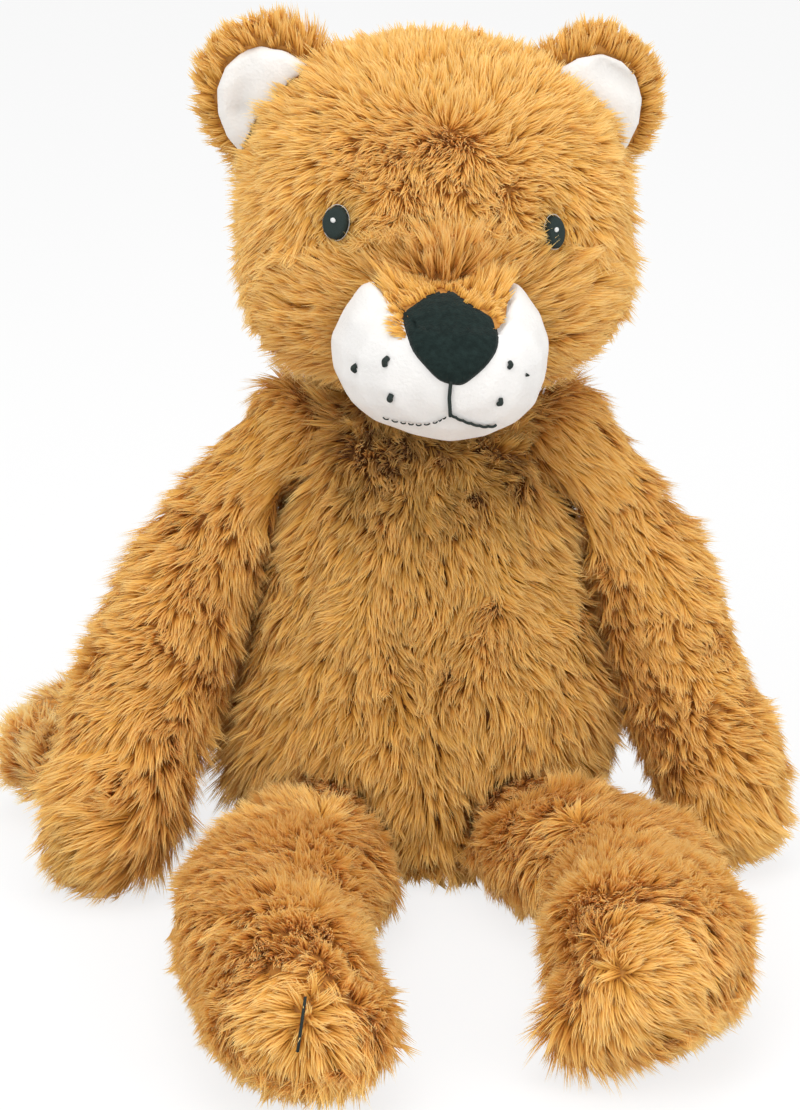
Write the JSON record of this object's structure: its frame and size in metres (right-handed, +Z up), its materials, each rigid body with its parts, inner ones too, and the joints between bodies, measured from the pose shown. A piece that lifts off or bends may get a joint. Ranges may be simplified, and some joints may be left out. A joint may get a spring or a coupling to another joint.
{
  "type": "plush lion",
  "caption": "Seated long-pile plush lion with a sewn head, folding ears, lifting arms and legs and a tufted tail, each a skin of panels round its stuffing.",
  "frame": {"origin": "middle of the flat seat, on the surface that the lion sits on", "axes": "+Z up; the lion faces -Y and its own left side is at +X"},
  "size_m": [0.2769, 0.3164, 0.2975],
  "materials": {
    "golden_fur": "long golden-brown pile",
    "tuft_fur": "long red-brown pile",
    "white_plush": "short white pile",
    "dark_thread": "near-black embroidery and fleece",
    "fibre_fill": "loose polyester fibre",
    "pellet_cloth": "plain woven cloth"
  },
  "bodies": {
    "torso": {"torso_front": "golden_fur", "torso_back": "golden_fur", "torso_stuffing": "fibre_fill", "pellet_bag": "pellet_cloth"},
    "neck": {"neck_stuffing": "fibre_fill"},
    "head": {"head_gusset": "golden_fur", "head_left": "golden_fur", "head_right": "golden_fur", "head_stuffing": "fibre_fill", "muzzle_left": "white_plush", "muzzle_right": "white_plush", "chin": "white_plush", "nose_bridge": "golden_fur", "muzzle_stuffing": "fibre_fill", "nose": "dark_thread", "mouth_stitching": "dark_thread", "left_eye": "dark_thread", "left_eye_highlight": "white_plush", "left_whisker_stitch_1": "dark_thread", "left_whisker_stitch_2": "dark_thread", "left_whisker_stitch_3": "dark_thread", "right_eye": "dark_thread", "right_eye_highlight": "white_plush", "right_whisker_stitch_1": "dark_thread", "right_whisker_stitch_2": "dark_thread", "right_whisker_stitch_3": "dark_thread"},
    "left_ear": {"left_ear_back": "golden_fur", "left_ear_lining": "white_plush"},
    "left_arm": {"left_arm_front": "golden_fur", "left_arm_back": "golden_fur", "left_arm_stuffing": "fibre_fill", "left_arm_toe_stitch_1": "dark_thread", "left_arm_toe_stitch_2": "dark_thread"},
    "left_leg": {"left_leg_upper": "golden_fur", "left_leg_lower": "golden_fur", "left_leg_stuffing": "fibre_fill", "left_leg_toe_stitch_1": "dark_thread", "left_leg_toe_stitch_2": "dark_thread", "left_leg_toe_stitch_3": "dark_thread"},
    "right_ear": {"right_ear_back": "golden_fur", "right_ear_lining": "white_plush"},
    "right_arm": {"right_arm_front": "golden_fur", "right_arm_back": "golden_fur", "right_arm_stuffing": "fibre_fill", "right_arm_toe_stitch_1": "dark_thread", "right_arm_toe_stitch_2": "dark_thread"},
    "right_leg": {"right_leg_upper": "golden_fur", "right_leg_lower": "golden_fur", "right_leg_stuffing": "fibre_fill", "right_leg_toe_stitch_1": "dark_thread", "right_leg_toe_stitch_2": "dark_thread", "right_leg_toe_stitch_3": "dark_thread"},
    "tail": {"tail_skin": "golden_fur", "tail_stuffing": "fibre_fill", "tail_tuft": "tuft_fur"}
  },
  "joints": [
    {"name": "neck_turn", "type": "hinge", "parent": "torso", "child": "neck", "pos_m": [0, 0.004, 0.158], "axis": [0, 0, 1], "range_deg": [-35, 35], "stiffness_Nm_per_rad": 0.6},
    {"name": "head_nod", "type": "hinge", "parent": "neck", "child": "head", "pos_m": [0, 0.004, 0.158], "axis": [1, 0, 0], "range_deg": [-15, 12], "stiffness_Nm_per_rad": 0.6},
    {"name": "left_ear_fold", "type": "hinge", "parent": "head", "child": "left_ear", "pos_m": [0.05051, 0.00812, 0.25436], "axis": [0.7897, 0.2794, -0.5462], "range_deg": [-10, 10], "stiffness_Nm_per_rad": 0.02},
    {"name": "right_ear_fold", "type": "hinge", "parent": "head", "child": "right_ear", "pos_m": [-0.04366, -0.00012, 0.25765], "axis": [0.8621, -0.1348, 0.4886], "range_deg": [-10, 10], "stiffness_Nm_per_rad": 0.02},
    {"name": "left_arm_lift", "type": "hinge", "parent": "torso", "child": "left_arm", "pos_m": [0.046, 0.002, 0.146], "axis": [-0.7923, -0.5516, -0.2608], "range_deg": [0, 50]},
    {"name": "right_arm_lift", "type": "hinge", "parent": "torso", "child": "right_arm", "pos_m": [-0.046, 0.002, 0.146], "axis": [-0.7923, 0.5516, 0.2608], "range_deg": [0, 50]},
    {"name": "left_leg_swing", "type": "hinge", "parent": "torso", "child": "left_leg", "pos_m": [0.035, -0.044, 0.0215], "axis": [-1, 0, 0], "range_deg": [-30, 35]},
    {"name": "right_leg_swing", "type": "hinge", "parent": "torso", "child": "right_leg", "pos_m": [-0.035, -0.044, 0.0215], "axis": [-1, 0, 0], "range_deg": [-30, 35]},
    {"name": "tail_swing", "type": "hinge", "parent": "torso", "child": "tail", "pos_m": [0, 0.053, 0.0235], "axis": [0, 0, -1], "range_deg": [0, 100]}
  ]
}
